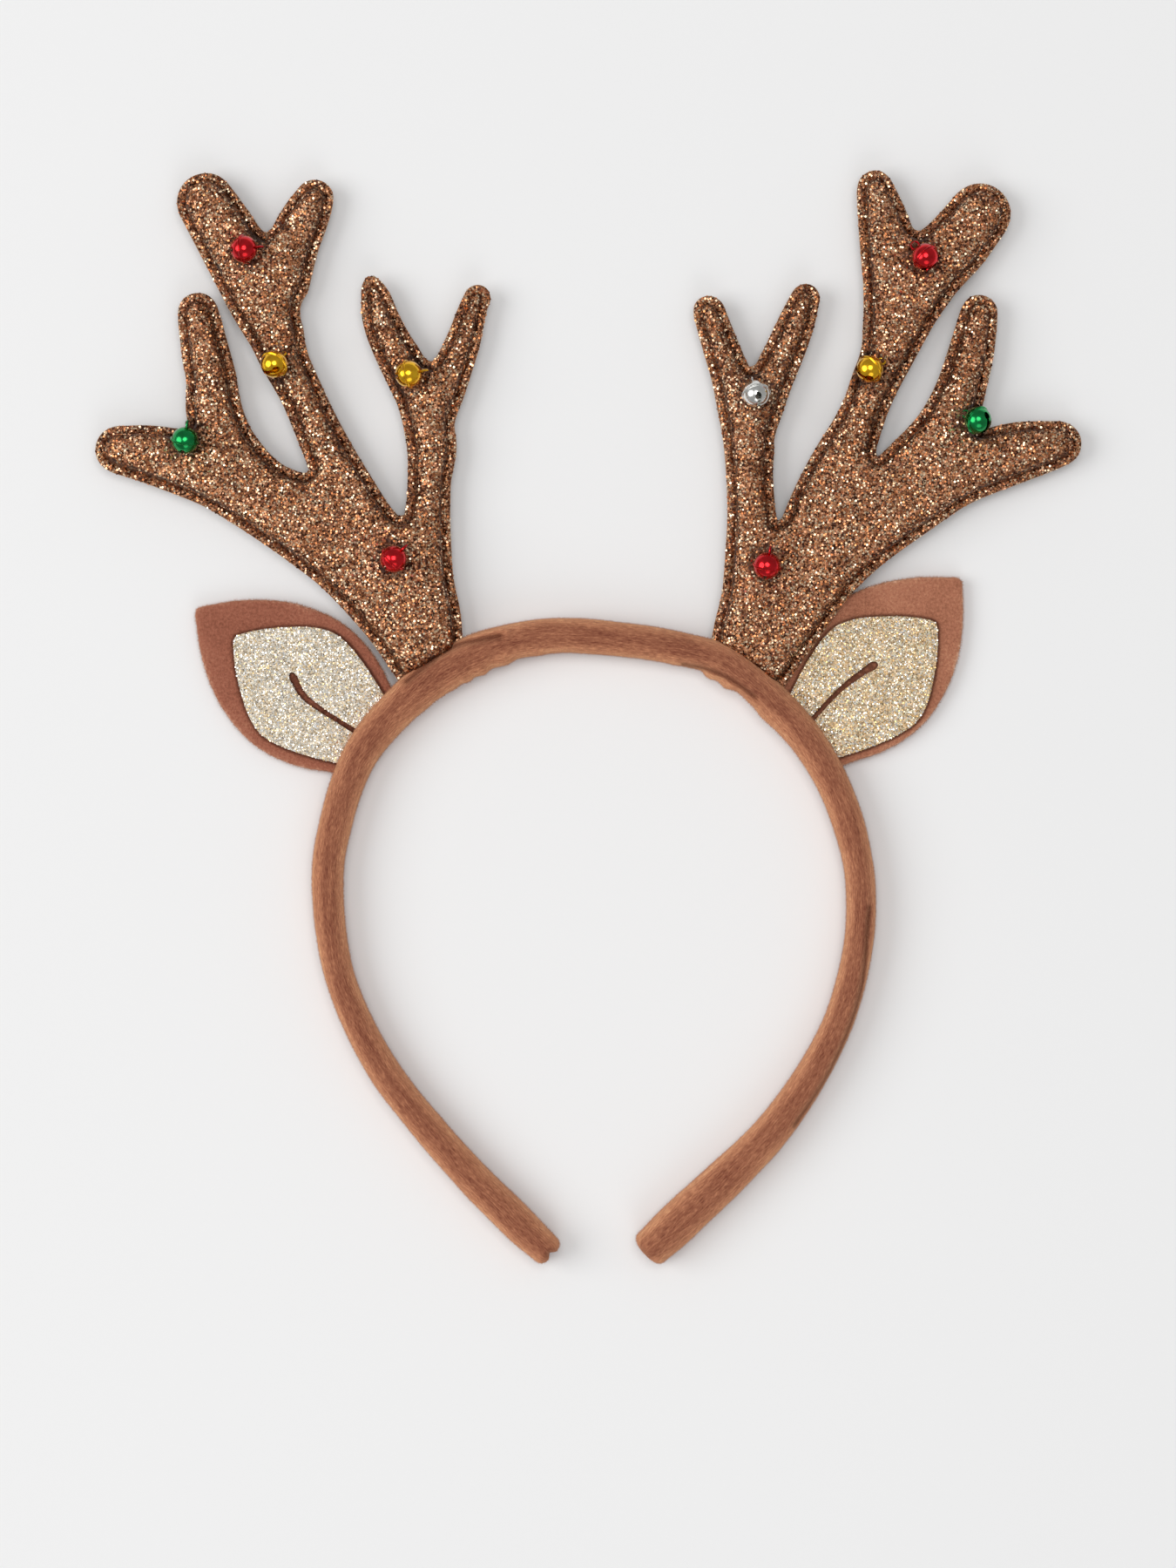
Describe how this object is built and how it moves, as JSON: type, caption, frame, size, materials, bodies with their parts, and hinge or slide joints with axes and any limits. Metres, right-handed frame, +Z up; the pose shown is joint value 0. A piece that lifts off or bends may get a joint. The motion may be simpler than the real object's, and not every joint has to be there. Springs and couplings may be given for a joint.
{
  "type": "reindeer antler headband",
  "caption": "Padded velvet headband, open at the bottom, with stuffed glitter antlers, velour ears with glitter panels and small round bells.",
  "frame": {"origin": "on the table, under the middle of the outline", "axes": "+Y from the hoop's open ends to the antler tips, +X to the right seen from the front, +Z up out of the front face"},
  "size_m": [0.2486, 0.2758, 0.0173],
  "materials": {
    "velvet": "brown velvet over padding",
    "glitter_fabric": "coarse copper glitter fabric",
    "velour": "short-pile brown velour",
    "pale_glitter": "champagne glitter sheet",
    "bell_red": "bright red metallic",
    "bell_gold": "bright gold",
    "bell_green": "bright green metallic",
    "bell_silver": "bright silver"
  },
  "bodies": {
    "root": {"band": "velvet", "antler_left": "glitter_fabric", "antler_right": "glitter_fabric", "ear_left": "velour", "ear_right": "velour", "ear_panel_left": "pale_glitter", "ear_panel_right": "pale_glitter", "bell_left_1": "bell_red", "bell_left_2": "bell_gold", "bell_left_3": "bell_gold", "bell_left_4": "bell_green", "bell_left_5": "bell_red", "bell_right_1": "bell_red", "bell_right_2": "bell_gold", "bell_right_3": "bell_silver", "bell_right_4": "bell_green", "bell_right_5": "bell_red"}
  },
  "joints": []
}
